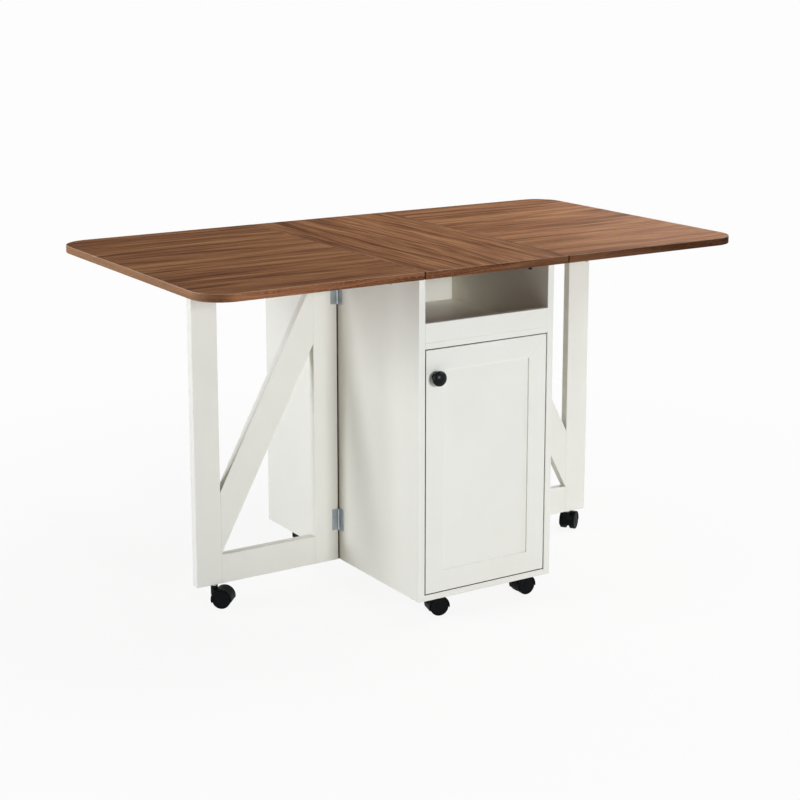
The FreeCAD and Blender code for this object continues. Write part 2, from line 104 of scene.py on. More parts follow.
def ease(part, width, steps, wanted=None):
    """Round the wanted edges of a part, or all of them."""
    edit(part, "EDGE", wanted)
    bpy.ops.mesh.bevel(offset=width, segments=steps, affect="EDGES")
    bpy.ops.object.mode_set(mode="OBJECT")


def finished(part, smooth=35):
    """Turn faces outwards, keep flat faces flat and shade round ones smooth."""
    if part.mode != "EDIT":
        edit(part)
    bpy.ops.mesh.select_all(action="SELECT")
    bpy.ops.mesh.normals_make_consistent(inside=False)
    bpy.ops.object.mode_set(mode="OBJECT")
    bpy.ops.object.transform_apply(location=True, rotation=True, scale=True)
    bpy.ops.object.shade_smooth_by_angle(angle=math.radians(smooth))
    part.modifiers.new("even_shading", "WEIGHTED_NORMAL").keep_sharp = True
    bpy.ops.object.modifier_apply(modifier="even_shading")
    return part


def block(name, low, high):
    """A plain block between two corners, ready to be shaped."""
    bpy.ops.object.select_all(action="DESELECT")
    middle = (Vector(low) + Vector(high)) / 2
    bpy.ops.mesh.primitive_cube_add(size=1, location=middle, scale=Vector(high) - Vector(low))
    part = bpy.context.object
    part.name = name
    part.data.name = name
    bpy.ops.object.transform_apply(location=True, rotation=True, scale=True)
    return part


def upright(edge):
    """True for an edge that stands along Z."""
    a, b = (vert.co for vert in edge.verts)
    return abs(a.z - b.z) > 0.5 * edge.calc_length()


def node(tree, kind, inputs=None, **settings):
    """Add a shader node; an input is a plain value or another node's output."""
    made = tree.nodes.new("ShaderNode" + kind)
    for key, value in settings.items():
        setattr(made, key, value)
    for key, value in (inputs or {}).items():
        if isinstance(value, bpy.types.NodeSocket):
            tree.links.new(value, made.inputs[key])
        else:
            made.inputs[key].default_value = value
    return made


def calc(tree, operation, *values):
    """One step of arithmetic between sockets or numbers."""
    return node(tree, "Math", dict(enumerate(values)), operation=operation).outputs[0]


def blend_colour(tree, share, first, second):
    """A colour between two others, by share."""
    mix = node(tree, "Mix", {0: share, 6: first, 7: second}, data_type="RGBA")
    return mix.outputs[2]


def new_material(name):
    """An empty material with its node tree and its Principled BSDF."""
    material = bpy.data.materials.new(name)
    material.use_nodes = True
    return material, material.node_tree, material.node_tree.nodes["Principled BSDF"]


def effect(name, takes, gives):
    """A shader node group: its tree, what it is given, and the node that takes its results."""
    tree = bpy.data.node_groups.new(name, "ShaderNodeTree")
    for label, (kind, value) in takes.items():
        socket = tree.interface.new_socket(label, in_out="INPUT", socket_type="NodeSocket" + kind)
        socket.default_value = value
    for label, kind in gives.items():
        tree.interface.new_socket(label, in_out="OUTPUT", socket_type="NodeSocket" + kind)
    return tree, tree.nodes.new("NodeGroupInput").outputs, tree.nodes.new("NodeGroupOutput")


def ramp(tree, value, low, high, start=0.0, end=1.0):
    """A value carried from one range to another and held at its ends."""
    return node(tree, "MapRange", {"Value": value, "From Min": low, "From Max": high,
                                   "To Min": start, "To Max": end}).outputs[0]


# Wood streaks: noise drawn out along the grain to a length and a width in metres.
wood_streaks, given, result = effect(
    "wood_streaks",
    {"Along": ("Float", 0.0), "Across": ("Float", 0.0), "Length": ("Float", 0.1),
     "Width": ("Float", 0.01)},
    {"Streaks": "Float"})
spot = node(wood_streaks, "CombineXYZ",
            {0: calc(wood_streaks, "DIVIDE", given["Along"], given["Length"]),
             1: calc(wood_streaks, "DIVIDE", given["Across"], given["Width"])})
noise = node(wood_streaks, "TexNoise", {"Vector": spot.outputs[0], "Scale": 1.0, "Detail": 2.5,
                                        "Roughness": 0.6}, noise_dimensions="2D")
wood_streaks.links.new(noise.outputs["Fac"], result.inputs["Streaks"])


def streaks(tree, along, across, length, width):
    """The wood streaks of one size."""
    return node(tree, "Group", {"Along": along, "Across": across, "Length": length,
                                "Width": width}, node_tree=wood_streaks).outputs[0]


# Walnut figure: staves with their own tone, then streaks of three sizes, each with a length, a
# width and a strength, and last open pores and light flecks.
walnut_figure, given, result = effect(
    "walnut_figure",
    {"Grain": ("Vector", (0, 0, 0)), "Stave Width": ("Float", 0.1), "Flecks": ("Float", 0.0),
     "Dark": ("Color", (0, 0, 0, 1)), "Middle": ("Color", (0, 0, 0, 1)),
     "Light": ("Color", (0, 0, 0, 1))},
    {"Colour": "Color", "Roughness": "Float", "Height": "Float"})
tree = walnut_figure
grain = node(tree, "SeparateXYZ", {0: given["Grain"]})
along, across = grain.outputs[0], grain.outputs[1]
drift = calc(tree, "SUBTRACT", streaks(tree, along, across, 0.42, 0.11), 0.5)
across = calc(tree, "MULTIPLY_ADD", drift, 0.034, across)
stave = calc(tree, "FLOOR", calc(tree, "DIVIDE", across, given["Stave Width"]))
chance = node(tree, "TexWhiteNoise", {"W": stave}, noise_dimensions="1D").outputs["Value"]
along = calc(tree, "MULTIPLY_ADD", chance, 3.7, along)
across = calc(tree, "MULTIPLY_ADD", chance, 0.63, across)
tone = calc(tree, "MULTIPLY_ADD", calc(tree, "SUBTRACT", chance, 0.5), 0.14, 0.5)
for length, width, strength in figure_streaks:
    swing = calc(tree, "SUBTRACT", streaks(tree, along, across, length, width), 0.5)
    tone = calc(tree, "MULTIPLY_ADD", swing, strength, tone)
colour = blend_colour(tree, ramp(tree, tone, 0.14, 0.50), given["Dark"], given["Middle"])
colour = blend_colour(tree, ramp(tree, tone, 0.50, 0.88), colour, given["Light"])
pore = ramp(tree, streaks(tree, along, across, 0.016, 0.0007), 0.58, 0.70)
colour = blend_colour(tree, calc(tree, "MULTIPLY", pore, 0.5), colour, given["Dark"])
fleck = ramp(tree, streaks(tree, along, across, 0.009, 0.0022), 0.48, 0.66)
fleck = calc(tree, "MULTIPLY", fleck, given["Flecks"])
colour = blend_colour(tree, fleck, colour, given["Light"])
fine = streaks(tree, along, across, 0.06, 0.0016)
rough = calc(tree, "MULTIPLY_ADD", fine, 0.20, 0.52)
tree.links.new(colour, result.inputs["Colour"])
tree.links.new(calc(tree, "MULTIPLY_ADD", pore, 0.12, rough), result.inputs["Roughness"])
tree.links.new(calc(tree, "MULTIPLY_ADD", pore, -0.8, fine), result.inputs["Height"])

# Band painted light: light and shade painted on the edge bands, lighter at the left leaf and darker
# towards the right one, with painted shade where they turn round the corners and a painted light on
# the left end.
band_painted_light, given, result = effect(
    "band_painted_light", {"Colour": ("Color", (0, 0, 0, 1)), "Painted End Light": ("Color", (0, 0, 0, 1))},
    {"Colour": "Color"})
tree = band_painted_light
place = node(tree, "TexCoord")
along_table = node(tree, "SeparateXYZ", {0: place.outputs["Object"]}).outputs[0]
facing = node(tree, "SeparateXYZ", {0: place.outputs["Normal"]})
left_end_painted_light = ramp(tree, along_table, painted_end_light_from_x, painted_end_light_full_x, 0.0, 0.50)
corner_painted_shade = calc(tree, "ABSOLUTE", calc(tree, "MULTIPLY", facing.outputs[0], facing.outputs[1]))
level = calc(tree, "MULTIPLY", ramp(tree, along_table, band_painted_light_x, band_painted_shade_x, 1.22, 0.33),
             ramp(tree, corner_painted_shade, 0.06, 0.40, 1.0, 0.50))
scaled = node(tree, "VectorMath", {0: given["Colour"], "Scale": level}, operation="SCALE")
tree.links.new(blend_colour(tree, left_end_painted_light, scaled.outputs[0], given["Painted End Light"]),
               result.inputs["Colour"])


def walnut(name, dark, middle, light, stave_width, specular, painted_end_light=None):
    """Walnut laminate, or the same wood print on an edge band with painted light and shade if it
    has an end light.
    """
    material, tree, shader = new_material(name)
    grain = node(tree, "UVMap", uv_map="grain").outputs["UV"]
    figure = node(tree, "Group", {"Grain": grain, "Stave Width": stave_width,
                                  "Flecks": band_flecks if painted_end_light else 0.0, "Dark": (*dark, 1),
                                  "Middle": (*middle, 1), "Light": (*light, 1)},
                  node_tree=walnut_figure)
    colour = figure.outputs["Colour"]
    if painted_end_light:
        colour = node(tree, "Group", {"Colour": colour, "Painted End Light": (*painted_end_light, 1)},
                      node_tree=band_painted_light).outputs[0]
    bump = node(tree, "Bump", {"Height": figure.outputs["Height"], "Strength": 0.35,
                               "Distance": 0.00008})
    tree.links.new(colour, shader.inputs["Base Color"])
    tree.links.new(figure.outputs["Roughness"], shader.inputs["Roughness"])
    tree.links.new(bump.outputs["Normal"], shader.inputs["Normal"])
    shader.inputs["Specular IOR Level"].default_value = specular
    return material


walnut_face = walnut("walnut_laminate", dark=(0.092, 0.031, 0.012), middle=(0.246, 0.102, 0.042),
                     light=(0.420, 0.203, 0.085), stave_width=0.094, specular=0.010)
walnut_band = walnut("walnut_edge_band", dark=(0.105, 0.034, 0.012), middle=(0.225, 0.093, 0.042),
                     light=(0.340, 0.155, 0.075), stave_width=0.031, specular=0.02,
                     painted_end_light=(0.290, 0.181, 0.102))
# The arris carries a painted highlight: a lighter, glossier print, palest at the left end.
walnut_arris = walnut("walnut_arris_painted_highlight", dark=(0.270, 0.130, 0.070), middle=(0.430, 0.250, 0.155),
                      light=(0.560, 0.360, 0.240), stave_width=0.031, specular=0.45,
                      painted_end_light=(0.850, 0.680, 0.500))
# The faces that meet in the seams are near black: painted shade in the seam gaps.
walnut_seam_shade = walnut("walnut_seam_painted_shade", dark=(0.010, 0.005, 0.003),
                       middle=(0.026, 0.012, 0.007), light=(0.045, 0.022, 0.012),
                       stave_width=0.031, specular=0.05)


def rim_run(place, low, high, radius):
    """Distance round a board's rim to a point, from the middle of its outer short edge."""
    side = high.y - radius
    end = max(abs(low.x), abs(high.x)) - radius
    x, y = abs(place.x), abs(place.y)
    if x > end and y > side:
        run = side + radius * math.atan2(y - side, x - end)
    elif y > side:
        run = side + radius * math.pi / 2 + end - x
    else:
        run = y
    return math.copysign(run, place.y)


def top_board(name, cad_node, body, lengthwise, grain_start):
    """One board of the top, with rounded outer corners if its grain runs lengthwise."""
    low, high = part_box(cad_node)
    part = block(name, low, high)
    outer = max(abs(low.x), abs(high.x))
    radius = leaf_corner_radius if lengthwise else 0.0
    if lengthwise:
        ease(part, radius, leaf_corner_steps,
             lambda e: upright(e) and abs(e.verts[0].co.x) > outer - near)
    ease(part, rim_ease, rim_steps,
         lambda e: not upright(e) or abs(e.verts[0].co.x) < seam_zone)
    finished(part)
    for finish in (walnut_face, walnut_band, walnut_arris, walnut_seam_shade):
        part.data.materials.append(finish)
    grain = part.data.uv_layers.new(name="grain")
    for face in part.data.polygons:
        flat = abs(face.normal.z) > 0.9
        meets = abs(face.normal.x) > 0.9 and abs(face.center.x) < seam_zone
        face.material_index = 0 if flat else 3 if meets else 2 if face.normal.z > 0.3 else 1
        for corner in face.loop_indices:
            place = part.data.vertices[part.data.loops[corner].vertex_index].co
            if flat and lengthwise:
                run, rise = place.x, place.y
            elif flat:
                run, rise = place.y, place.x
            elif meets or not lengthwise:
                run, rise = place.x + place.y, place.z
            else:
                run, rise = rim_run(place, low, high, radius), place.z
            grain.data[corner].uv = (run + grain_start, rise + grain_start)
    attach(part, body)
    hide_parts(cad_node)
    return part


top_board("top_centre_board", "centre_board", "cabinet", lengthwise=False, grain_start=2.31)
top_board("top_left_leaf", "leaf_board_left", "left_leaf", lengthwise=True, grain_start=4.07)
top_board("top_right_leaf", "leaf_board_right", "right_leaf", lengthwise=True, grain_start=7.46)

# ---------------------------------------------------------------- painted boards
# Cabinet panels, shelves and the boards of both gates: fibreboard with eased edges, sprayed
# with satin off-white lacquer, which lies with a faint orange peel and small changes of tone.
# The inside of the cabinet is painted a little creamier, as painted warm bounce light in its shade.
lacquer_colour = (0.820, 0.801, 0.715, 1)
lacquer_shade = (0.800, 0.779, 0.690, 1)
# Painted warm bounce light inside the cabinet, and how far in from its walls and mouth it starts
# and is full.
inside_painted_bounce_colour = (0.875, 0.835, 0.715, 1)
inside_painted_bounce_dark_tone = (0.855, 0.812, 0.690, 1)
inside_painted_bounce_start = 0.0003
inside_painted_bounce_full = 0.001
inside_painted_bounce_mouth = 0.012


# Fine skin: a small surface grain over soft clouds of tone and gloss.
fine_skin, given, result = effect(
    "fine_skin",
    {"Light": ("Color", (0, 0, 0, 1)), "Shade": ("Color", (0, 0, 0, 1)),
     "Cloud Size": ("Float", 0.1), "Grain Size": ("Float", 0.01), "Gloss": ("Float", 0.5),
     "Gloss Drift": ("Float", 0.1)},
    {"Colour": "Color", "Roughness": "Float", "Height": "Float"})
tree = fine_skin
place = node(tree, "TexCoord").outputs["Object"]
cloud = node(tree, "TexNoise", {"Vector": place, "Detail": 3.0,
                                "Scale": calc(tree, "DIVIDE", 1.0, given["Cloud Size"])})
grain = node(tree, "TexNoise", {"Vector": place, "Detail": 2.0,
                                "Scale": calc(tree, "DIVIDE", 1.0, given["Grain Size"])})
share = ramp(tree, cloud.outputs["Fac"], 0.3, 0.7)
drift = calc(tree, "SUBTRACT", grain.outputs["Fac"], 0.5)
tree.links.new(blend_colour(tree, share, given["Light"], given["Shade"]), result.inputs["Colour"])
tree.links.new(calc(tree, "MULTIPLY_ADD", drift, given["Gloss Drift"], given["Gloss"]),
               result.inputs["Roughness"])
tree.links.new(grain.outputs["Fac"], result.inputs["Height"])


def lacquer(name, peel_size, roughness):
    """Satin lacquer on a smooth board, with painted warm bounce light making it creamier inside the
    cabinet.
    """
    material, tree, shader = new_material(name)
    side_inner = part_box("side_panel_left")[1].x
    base_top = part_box("bottom_panel")[1].z
    door_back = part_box("door_slab")[1].y
    place = node(tree, "SeparateXYZ", {0: node(tree, "TexCoord").outputs["Object"]})
    between = ramp(tree, calc(tree, "ABSOLUTE", place.outputs["X"]), -side_inner + inside_painted_bounce_start,
                   -side_inner + inside_painted_bounce_full, 1.0, 0.0)
    above = ramp(tree, place.outputs["Z"], base_top - inside_painted_bounce_full, base_top - inside_painted_bounce_start)
    behind = ramp(tree, place.outputs["Y"], door_back - inside_painted_bounce_mouth, door_back)
    inside = calc(tree, "MULTIPLY", calc(tree, "MULTIPLY", between, above), behind)
    skin = node(tree, "Group", {"Light": blend_colour(tree, inside, lacquer_colour, inside_painted_bounce_colour),
                                "Shade": blend_colour(tree, inside, lacquer_shade, inside_painted_bounce_dark_tone),
                                "Cloud Size": 0.11, "Grain Size": peel_size,
                                "Gloss": roughness, "Gloss Drift": 0.12}, node_tree=fine_skin)
    bump = node(tree, "Bump", {"Height": skin.outputs["Height"], "Strength": 0.25,
                               "Distance": 0.00006})
    tree.links.new(skin.outputs["Colour"], shader.inputs["Base Color"])
    tree.links.new(skin.outputs["Roughness"], shader.inputs["Roughness"])
    tree.links.new(bump.outputs["Normal"], shader.inputs["Normal"])
    shader.inputs["Specular IOR Level"].default_value = 0.45
    return material


white_lacquer = lacquer("off_white_lacquer", peel_size=0.0022, roughness=0.41)


def dress(cad_node, material):
    """Give a CAD piece its finish."""
    for place in boards[cad_node].material_slots:
        place.material = material


for cad_node in ("side_panel_left", "side_panel_right", "bottom_panel", "niche_floor",
                 "partition", "niche_apron", "door_shelf", "rear_shelf_lower",
                 "rear_shelf_upper"):
    dress(cad_node, white_lacquer)
for side in ("left", "right"):
    for piece in ("outer_stile", "inner_stile", "bottom_rail", "top_rail", "brace", "rest"):
        dress("gate_" + piece + "_" + side, white_lacquer)

# ---------------------------------------------------------------- door
# A fibreboard door whose field is routed down to leave a plain frame round it, lacquered
# like the cabinet. It turns on two pivots at its right edge, which is rounded to clear.
door_frame_width = 0.0445
door_field_depth = 0.004
door_ease = 0.0009
door_ease_steps = 2
door_turning_round = 0.003
door_turning_steps = 4

door_low, door_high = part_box("door_slab")
door = block("door", door_low, door_high)
edit(door, "FACE", lambda f: f.normal.y < -0.9)
bpy.ops.mesh.inset(thickness=door_frame_width, depth=0)
bpy.ops.mesh.extrude_region_move(TRANSFORM_OT_translate={"value": (0, door_field_depth, 0)})
bpy.ops.object.mode_set(mode="OBJECT")
ease(door, door_turning_round, door_turning_steps,
     lambda e: upright(e) and e.verts[0].co.y < door_low.y + near
     and e.verts[0].co.x > door_high.x - near)
ease(door, door_ease, door_ease_steps, lambda e: e.calc_face_angle(0) > math.radians(60))
finished(door)
door.data.materials.append(white_lacquer)
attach(door, "door")
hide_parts("door_slab")

# ---------------------------------------------------------------- knob
# A turned knob with a flared foot, a neck and a domed head, in satin black, screwed on
# through the door.
knob_sides = 64
knob_neck_radius = 0.006
knob_neck_height = 0.008
knob_rim_height = 0.0155
knob_foot_radius = 0.009
knob_foot_height = 0.0015
knob_foot_ease = 0.0003
knob_flare_steps = 6
knob_belly_steps = 10
knob_crown_steps = 14


def pointing(place, direction):
    """The matrix that stands a Z-axis model on a place, pointing a way."""
    turn = Vector((0, 0, 1)).rotation_difference(Vector(direction))
    return Matrix.Translation(place) @ turn.to_matrix().to_4x4()


def turned(name, place, axis, profile, sides):
    """A turned piece: a disc drawn up ring by ring along a profile of radius and height."""
    bpy.ops.object.select_all(action="DESELECT")
    bpy.ops.mesh.primitive_circle_add(vertices=sides, radius=profile[0][0], fill_type="NGON")
    part = bpy.context.object
    part.name = name
    part.data.name = name
    edit(part)
    for (radius, height), (next_radius, next_height) in zip(profile, profile[1:]):
        rise = (0, 0, next_height - height)
        bpy.ops.mesh.extrude_region_move(TRANSFORM_OT_translate={"value": rise})
        share = next_radius / radius
        bpy.ops.transform.resize(value=(share, share, 1), center_override=(0, 0, 0))
    bpy.ops.object.mode_set(mode="OBJECT")
    part.matrix_world = pointing(place, axis)
    return finished(part, smooth=40)


knob_low, knob_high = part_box("door_knob")
knob_radius = (knob_high.x - knob_low.x) / 2
knob_reach = knob_high.y - knob_low.y
knob_place = Vector(((knob_low.x + knob_high.x) / 2, knob_high.y, (knob_low.z + knob_high.z) / 2))
knob_profile = [(knob_foot_radius * 0.97, 0), (knob_foot_radius, knob_foot_ease),
                (knob_foot_radius, knob_foot_height)]
flare = knob_foot_radius - knob_neck_radius
for step in range(1, knob_flare_steps + 1):
    turn = step / knob_flare_steps * math.pi / 2
    knob_profile.append((knob_neck_radius + flare * (1 - math.sin(turn)),
                         knob_foot_height + flare * (1 - math.cos(turn))))
knob_profile.append((knob_neck_radius, knob_neck_height))
for step in range(1, knob_belly_steps + 1):
    turn = step / knob_belly_steps * math.pi / 2
    knob_profile.append((knob_neck_radius + (knob_radius - knob_neck_radius) * math.sin(turn),
                         knob_rim_height - (knob_rim_height - knob_neck_height) * math.cos(turn)))
for step in range(1, knob_crown_steps):
    turn = step / knob_crown_steps * math.pi / 2
    knob_profile.append((knob_radius * math.cos(turn),
                         knob_rim_height + (knob_reach - knob_rim_height) * math.sin(turn)))
knob = turned("door_knob_turned", knob_place, (0, -1, 0), knob_profile, knob_sides)


def plain_finish(name, colour, roughness, specular, grain_size, grain_depth, mottle, metallic=0.0):
    """A one-colour finish with a fine surface grain and slightly uneven gloss and tone."""
    material, tree, shader = new_material(name)
    skin = node(tree, "Group", {"Light": (*[part * (1 + mottle) for part in colour], 1),
                                "Shade": (*[part * (1 - mottle) for part in colour], 1),
                                "Cloud Size": grain_size * 9, "Grain Size": grain_size,
                                "Gloss": roughness, "Gloss Drift": 0.16}, node_tree=fine_skin)
    bump = node(tree, "Bump", {"Height": skin.outputs["Height"], "Strength": 0.4,
                               "Distance": grain_depth})
    tree.links.new(skin.outputs["Colour"], shader.inputs["Base Color"])
    tree.links.new(skin.outputs["Roughness"], shader.inputs["Roughness"])
    tree.links.new(bump.outputs["Normal"], shader.inputs["Normal"])
    shader.inputs["Metallic"].default_value = metallic
    shader.inputs["Specular IOR Level"].default_value = specular
    return material


black_enamel = plain_finish("black_enamel", (0.003, 0.004, 0.005), roughness=0.30, specular=0.14,
                            grain_size=0.0012, grain_depth=0.00001, mottle=0.15)
knob.data.materials.append(black_enamel)
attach(knob, "door")
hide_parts("door_knob")

# ---------------------------------------------------------------- steel fittings
# Hinge pins, shelf pins, caster stems, the door's strike plate and the joggled flap hinges
# under the top, all pressed or turned in mild steel and zinc plated.
zinc = plain_finish("zinc_plate", (0.42, 0.455, 0.47), roughness=0.38, specular=0.5,
                    grain_size=0.0016, grain_depth=0.00003, mottle=0.10, metallic=1.0)
for cad_node in ("flap_wings_right_leaf", "flap_wings_left_leaf", "flap_wings_centre",
                 "shelf_pins", "hinge_pins", "strike_plate", "cabinet_stems",
                 "gate_stem_left", "gate_stem_right"):
    dress(cad_node, zinc)

# ---------------------------------------------------------------- screws
# Countersunk screws with a cross recess, zinc plated, driven flush. One is modelled, and each
# hinge wing and fitting gets its copies.
screw_sides = 28
screw_radius = 0.0031
screw_proud = 0.00015
screw_edge = 0.0002
screw_depth = 0.0009
recess_reach = 0.0019
recess_width = 0.0007
recess_depth = 0.0006
flap_width = 0.044
flap_screw_half_pitch = 0.013
flap_screw_reaches = (0.009, 0.026)
flap_screw_depth = 0.002


def carve(part, tool, operation="DIFFERENCE"):
    """Cut or join a piece with another, which is used up."""
    if part.mode != "OBJECT":
        bpy.ops.object.mode_set(mode="OBJECT")
    alone(part)
    cut = part.modifiers.new("carve", "BOOLEAN")
    cut.operation = operation
    cut.solver = "EXACT"
    cut.object = tool
    bpy.ops.object.modifier_apply(modifier="carve")
    bpy.data.objects.remove(tool)
    return part


def copies(name, part, places):
    """One piece made of copies of a model, each moved by its own matrix."""
    made = []
    for matrix in places:
        copy = bpy.data.objects.new(name, part.data.copy())
        bpy.context.scene.collection.objects.link(copy)
        copy.data.transform(matrix)
        if matrix.determinant() < 0:
            copy.data.flip_normals()
        made.append(copy)
    alone(made[0])
    for copy in made:
        copy.select_set(True)
    if len(made) > 1:
        bpy.ops.object.join()
    made[0].name = name
    made[0].data.name = name
    return made[0]


screw = turned("screw", (0, 0, 0), (0, 0, 1),
               [(screw_radius * 0.62, -screw_depth), (screw_radius, -screw_edge),
                (screw_radius, screw_proud * 0.4), (screw_radius * 0.93, screw_proud)],
               screw_sides)
for reach_x, reach_y in ((recess_reach, recess_width), (recess_width, recess_reach)):
    carve(screw, block("slot", (-reach_x, -reach_y, screw_proud - recess_depth),
                       (reach_x, reach_y, screw_proud + recess_depth)))
finished(screw)
screw.data.materials.append(zinc)


def screws(name, body, places, direction):
    """A row of screws set flush in a fitting."""
    row = copies(name, screw, [pointing(place, direction) for place in places])
    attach(row, body)


for side, direction in (("left", -1), ("right", 1)):
    low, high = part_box("flap_wings_" + side + "_leaf")
    outer_end = high.x if direction > 0 else low.x
    places = [(outer_end - direction * reach, y + step * flap_screw_half_pitch,
               high.z - flap_screw_depth)
              for y in (low.y + flap_width / 2, high.y - flap_width / 2)
              for step in (-1, 1) for reach in flap_screw_reaches]
    screws("flap_screws_" + side + "_leaf", side + "_leaf", places, (0, 0, -1))

# ---------------------------------------------------------------- gate hinges
# Butt hinges, two to a gate: a wing on the gate's front, a wing on the side panel, with
# interleaved knuckles rolled round the pin and two countersunk screws in each wing.
hinge_height = 0.047
wing_length = 0.015
wing_plate = 0.0016
wing_corner = 0.0012
wing_corner_steps = 4
knuckle_sides = 32
knuckle_radius = 0.003
knuckle_gap = 0.0002
knuckle_count = 3
knuckle_clear = 0.0006
pin_bore = 0.00155
bore_sides = 24
wing_screw_reach = 0.0095
wing_screw_end = 0.0088
sink_clear = 0.0002
sink_rim = 0.0004
sink_depth = 0.0013
cutter_spare = 0.001


def rod(name, start, axis, radius, length, sides):
    """A round bar from a place along an axis."""
    bpy.ops.object.select_all(action="DESELECT")
    middle = Vector(start) + Vector(axis) * (length / 2)
    turn = Vector((0, 0, 1)).rotation_difference(Vector(axis)).to_euler()
    bpy.ops.mesh.primitive_cylinder_add(vertices=sides, radius=radius, depth=length,
                                        location=middle, rotation=turn)
    part = bpy.context.object
    part.name = name
    bpy.ops.object.transform_apply(location=True, rotation=True, scale=True)
    return part


def butt_wing(name, own):
    """Half a hinge on a Z pin at the origin, its plate along +X with its back to +Y."""
    half = hinge_height / 2
    wing = block(name, (0, knuckle_radius - wing_plate, -half),
                 (wing_length, knuckle_radius, half))
    ease(wing, wing_corner, wing_corner_steps,
         lambda e: min(v.co.x for v in e.verts) > wing_length - near
         and abs(e.verts[0].co.y - e.verts[1].co.y) > near)
    pitch = hinge_height / knuckle_count
    for place in range(knuckle_count):
        low = -half + place * pitch + knuckle_gap / 2
        length = pitch - knuckle_gap
        if place % 2 == own:
            carve(wing, rod("knuckle", (0, 0, low), (0, 0, 1), knuckle_radius, length,
                            knuckle_sides), "UNION")
        else:
            reach = knuckle_radius + knuckle_clear
            carve(wing, block("gap", (-reach, -reach, low - knuckle_gap),
                              (reach, reach, low + length + knuckle_gap)))
    carve(wing, rod("bore", (0, 0, -half - cutter_spare), (0, 0, 1), pin_bore,
                    hinge_height + 2 * cutter_spare, bore_sides))
    for sign in (-1, 1):
        sink = turned("sink", (wing_screw_reach, knuckle_radius - wing_plate - sink_clear,
                               sign * (half - wing_screw_end)), (0, 1, 0),
                      [(screw_radius + sink_clear, 0), (screw_radius + sink_clear, sink_rim),
                       (screw_radius * 0.6, sink_depth)], screw_sides)
        carve(wing, sink)
    finished(wing)
    wing.data.materials.append(zinc)
    return wing


def wing_screw_places():
    """Where the screws stand on a wing, on its front."""
    half = hinge_height / 2
    return [Matrix.Translation((wing_screw_reach, knuckle_radius - wing_plate,
                                sign * (half - wing_screw_end)))
            @ Matrix.Rotation(math.radians(90), 4, "X") for sign in (-1, 1)]


gate_wing = butt_wing("gate_wing", 1)
panel_wing = butt_wing("panel_wing", 0)
panel_turn = Matrix.Rotation(math.radians(-90), 4, "Z") @ Matrix.Rotation(math.pi, 4, "X")
panel_seats = []
for side, mirror in (("left", -1), ("right", 1)):
    low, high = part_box("gate_hinge_wings_" + side)
    pin_x = (low.x if mirror > 0 else high.x) + mirror * knuckle_radius
    pin_y = low.y + knuckle_radius
    seats = []
    for z in (low.z + hinge_height / 2, high.z - hinge_height / 2):
        seats.append(Matrix.Translation((pin_x, pin_y, z)) @ Matrix.Diagonal((mirror, 1, 1, 1)))
    wings = copies("gate_hinge_plates_" + side, gate_wing, seats)
    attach(wings, side + "_gate")
    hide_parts("gate_hinge_wings_" + side)
    row = copies("gate_hinge_screws_" + side, screw,
                 [seat @ spot for seat in seats for spot in wing_screw_places()])
    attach(row, side + "_gate")
    panel_seats += [seat @ panel_turn for seat in seats]
wings = copies("panel_hinge_plates", panel_wing, panel_seats)
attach(wings, "cabinet")
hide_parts("hinge_wings_cabinet")
row = copies("panel_hinge_screws", screw,
             [seat @ spot for seat in panel_seats for spot in wing_screw_places()])
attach(row, "cabinet")
for model in (gate_wing, panel_wing):
    bpy.data.objects.remove(model)

# ---------------------------------------------------------------- painted shade strips
# Dark brown strips as painted shade in the gaps: a strip down the pin edge of each gate, in
# the gap to the side panel, and thin ones round the door opening.
gate_gap_shade_thickness = 0.0026
gate_gap_shade_inset = 0.0006
gate_gap_shade_margin = 0.001
door_gap_shade_thickness = 0.0011
door_gap_shade_depth = 0.0024
door_gap_shade_recess = 0.0005
gap_shade_ease = 0.0003
gap_shade_ease_steps = 2
# The near-black brown of the painted shade strips.
gap_shade_finish = plain_finish("painted_gap_shade", (0.050, 0.026, 0.008), roughness=0.85, specular=0.0,
                    grain_size=0.0006, grain_depth=0.00015, mottle=0.30)


def gap_shade_strip(name, low, high, body):
    """A dark strip of painted shade between two corners, its edges eased a little round."""
    strip = block(name, low, high)
    ease(strip, gap_shade_ease, gap_shade_ease_steps)
    finished(strip)
    strip.data.materials.append(gap_shade_finish)
    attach(strip, body)


for side, direction in (("left", -1), ("right", 1)):
    low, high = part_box("gate_inner_stile_" + side)
    edge_x = low.x if direction > 0 else high.x
    near_x, far_x = sorted((edge_x - direction * gate_gap_shade_thickness, edge_x))
    gap_shade_strip("gap_strip_" + side,
               (near_x, low.y + gate_gap_shade_inset, low.z + gate_gap_shade_margin),
               (far_x, high.y - gate_gap_shade_inset, high.z - gate_gap_shade_margin), side + "_gate")

opening_low = Vector((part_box("side_panel_left")[1].x, door_low.y + door_gap_shade_recess,
                      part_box("bottom_panel")[1].z))
opening_high = Vector((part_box("side_panel_right")[0].x, opening_low.y + door_gap_shade_depth,
                       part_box("niche_floor")[0].z))
inner_low_z = opening_low.z + door_gap_shade_thickness
inner_high_z = opening_high.z - door_gap_shade_thickness
gap_shade_strip("door_strip_below", opening_low, (opening_high.x, opening_high.y, inner_low_z),
           "cabinet")
gap_shade_strip("door_strip_above", (opening_low.x, opening_low.y, inner_high_z), opening_high,
           "cabinet")
gap_shade_strip("door_strip_side", (opening_low.x, opening_low.y, inner_low_z),
           (opening_low.x + door_gap_shade_thickness, opening_high.y, inner_high_z), "cabinet")

